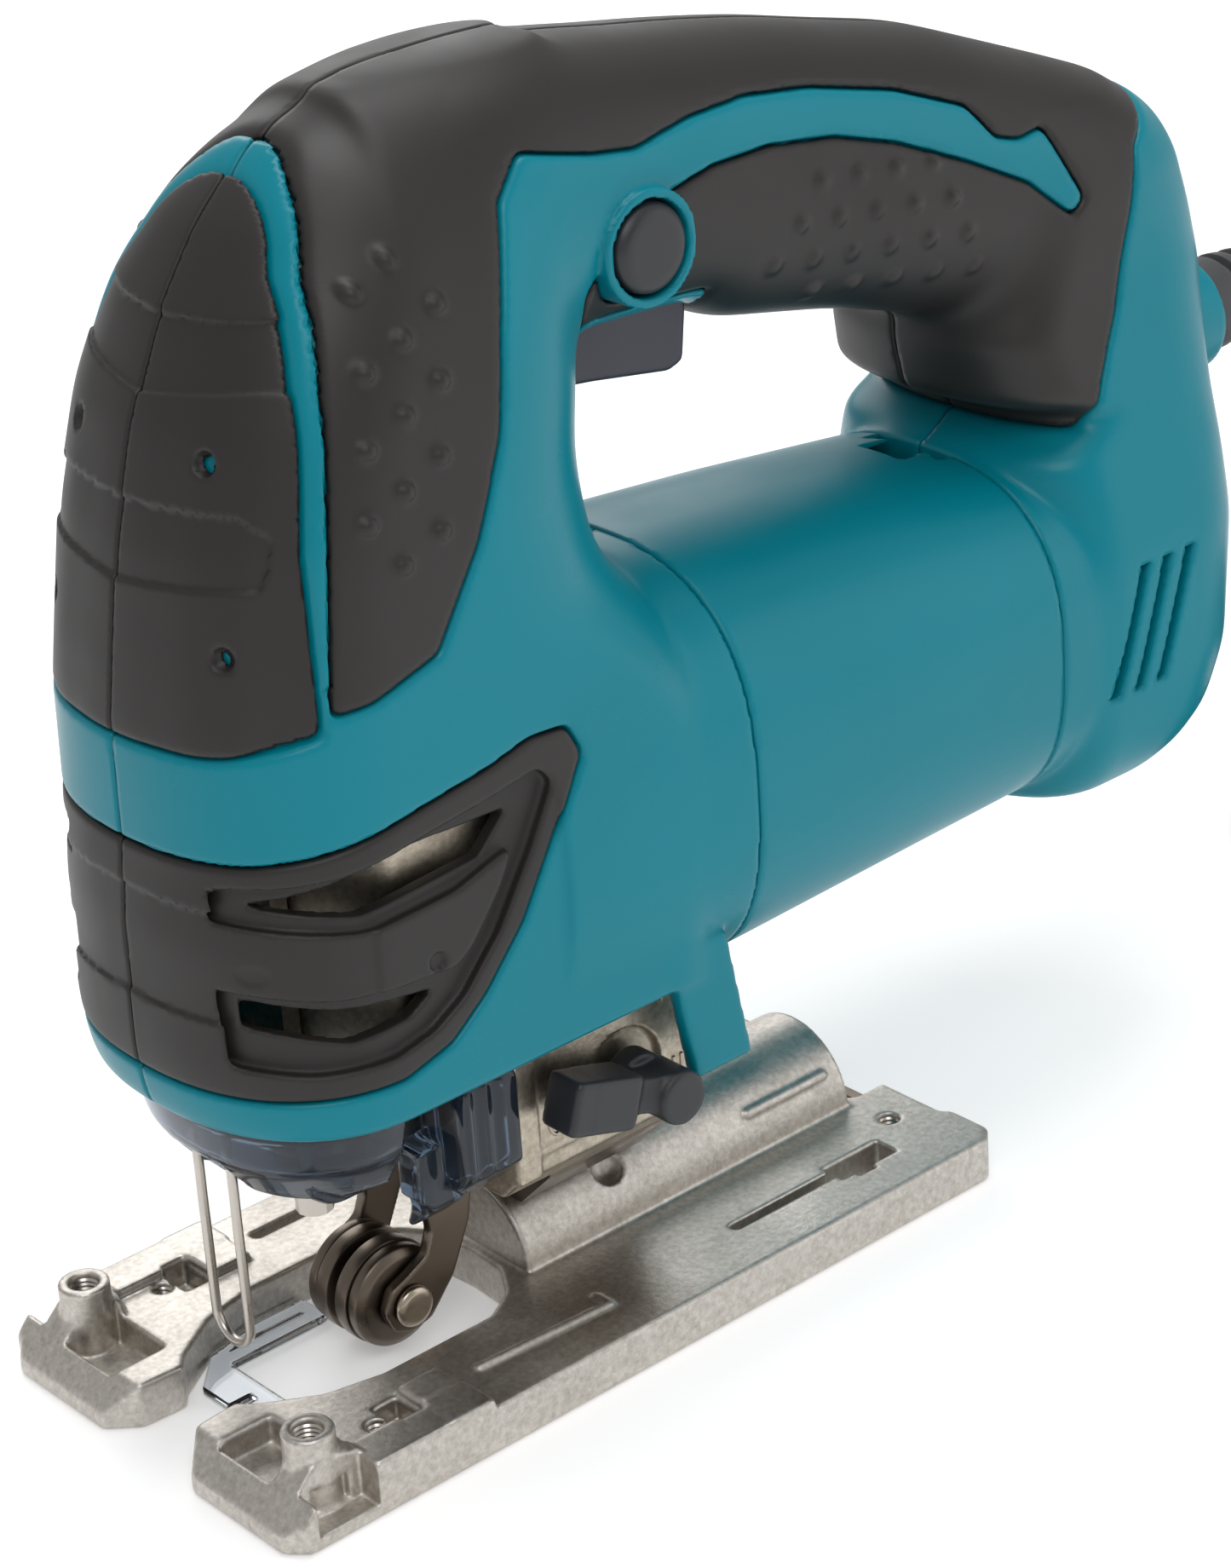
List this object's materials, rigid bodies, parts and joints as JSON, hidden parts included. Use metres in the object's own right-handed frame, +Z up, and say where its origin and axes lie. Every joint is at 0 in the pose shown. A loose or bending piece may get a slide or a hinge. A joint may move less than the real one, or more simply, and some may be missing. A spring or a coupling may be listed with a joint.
{
  "type": "jigsaw power tool",
  "caption": "Corded D-handle jigsaw with a sliding, tilting cast base, orbital blade guide, teal clamshell housing, black soft grips and a coiled supply cord.",
  "frame": {"origin": "middle of the tool's own box at the sole of the base, cord and plug left out", "axes": "+X to the rear along the tool, +Y to the tool's right, +Z up; the blade end faces -X"},
  "size_m": [0.406, 0.1232, 0.2064],
  "materials": {
    "teal_plastic": "satin moulded nylon, teal",
    "rubber_grip": "soft overmoulded rubber, matt black",
    "cast_aluminium": "bead-blasted die casting",
    "dark_steel": "oiled dark steel",
    "bright_steel": "plated or ground steel",
    "smoky_plastic": "smoky clear polycarbonate",
    "clear_plastic": "clear polycarbonate",
    "black_plastic": "fine-textured black plastic",
    "cord_rubber": "smooth black rubber",
    "copper": "turned copper segments",
    "brass": "turned and drawn brass",
    "carbon": "pressed carbon"
  },
  "bodies": {
    "housing": {"brush_holder_left": "brass", "brush_holder_right": "brass", "brush_left": "carbon", "brush_right": "carbon", "capacitor": "black_plastic", "cord": "cord_rubber", "cord_clamp": "black_plastic", "cord_coil": "cord_rubber", "cord_guard": "cord_rubber", "cover_screw": "bright_steel", "dust_cover": "smoky_plastic", "front_bearing": "bright_steel", "front_pad_left": "rubber_grip", "front_pad_right": "rubber_grip", "gear_axle": "bright_steel", "gear_cover": "cast_aluminium", "gear_housing": "cast_aluminium", "grip_left": "rubber_grip", "grip_right": "rubber_grip", "housing_left": "teal_plastic", "housing_right": "teal_plastic", "housing_screw_1": "bright_steel", "housing_screw_2": "bright_steel", "housing_screw_3": "bright_steel", "housing_screw_4": "bright_steel", "housing_screw_5": "bright_steel", "lock_spring": "bright_steel", "motor_housing": "teal_plastic", "plug": "cord_rubber", "plunger_bush_lower": "brass", "plunger_bush_upper": "brass", "rear_bearing": "bright_steel", "stator": "dark_steel", "switch_body": "black_plastic", "trigger_spring": "bright_steel", "vent_cover_left": "rubber_grip", "vent_cover_right": "rubber_grip", "wire_guard": "bright_steel"},
    "drive": {"drive_gear": "bright_steel", "crank_pin": "bright_steel", "counterweight": "cast_aluminium"},
    "armature": {"armature": "bright_steel", "commutator": "copper", "fan": "black_plastic"},
    "plunger": {"plunger": "bright_steel", "blade_clamp": "dark_steel"},
    "roller_fork": {"roller_fork": "dark_steel", "roller_pin": "dark_steel"},
    "guide_roller": {"guide_roller": "dark_steel"},
    "saddle": {"saddle_slider": "dark_steel"},
    "base": {"base": "cast_aluminium", "base_clamp_bolt": "bright_steel", "anti_splinter_insert": "clear_plastic", "hex_key": "dark_steel"},
    "trigger": {"trigger": "black_plastic"},
    "lock_button": {"lock_button": "black_plastic"},
    "orbital_lever": {"orbital_lever": "black_plastic"},
    "blade_release_lever": {"blade_release_lever": "smoky_plastic"}
  },
  "joints": [
    {"name": "gear_spin", "type": "hinge", "parent": "housing", "child": "drive", "pos_m": [-0.0595, 0, 0.116], "axis": [1, 0, 0], "continuous": true},
    {"name": "armature_spin", "type": "hinge", "parent": "housing", "child": "armature", "pos_m": [-0.0015, 0, 0.088], "axis": [1, 0, 0], "continuous": true},
    {"name": "plunger_stroke", "type": "slide", "parent": "housing", "child": "plunger", "axis": [0, 0, 1], "range_m": [-0.013, 0.013]},
    {"name": "fork_swing", "type": "hinge", "parent": "housing", "child": "roller_fork", "pos_m": [-0.0645, 0, 0.038], "axis": [0, 1, 0], "range_deg": [0, 5], "stiffness_Nm_per_rad": 1.5},
    {"name": "roller_spin", "type": "hinge", "parent": "roller_fork", "child": "guide_roller", "pos_m": [-0.075, 0, 0.011], "axis": [0, 1, 0], "continuous": true},
    {"name": "base_slide", "type": "slide", "parent": "housing", "child": "saddle", "axis": [1, 0, 0], "range_m": [0, 0.012]},
    {"name": "base_tilt", "type": "hinge", "parent": "saddle", "child": "base", "pos_m": [-0.0215, 0, 0.008], "axis": [1, 0, 0], "range_deg": [-45, 45]},
    {"name": "trigger_pull", "type": "hinge", "parent": "housing", "child": "trigger", "pos_m": [-0.0315, 0, 0.161], "axis": [0, -1, 0], "range_deg": [0, 9], "stiffness_Nm_per_rad": 1.2, "deforming": ["trigger_spring"]},
    {"name": "lock_button_press", "type": "slide", "parent": "housing", "child": "lock_button", "axis": [0, 1, 0], "range_m": [0, 0.003], "stiffness_N_per_m": 400},
    {"name": "orbital_select", "type": "hinge", "parent": "housing", "child": "orbital_lever", "pos_m": [-0.0395, 0, 0.044], "axis": [0, -1, 0], "range_deg": [0, 60]},
    {"name": "blade_release", "type": "hinge", "parent": "housing", "child": "blade_release_lever", "pos_m": [-0.0652, -0.0244, 0.045], "axis": [0, 0, 1], "range_deg": [0, 35], "stiffness_Nm_per_rad": 0.15}
  ],
  "couplings": [
    {"joint": "armature_spin", "follows": "gear_spin", "ratio": -4.6}
  ]
}
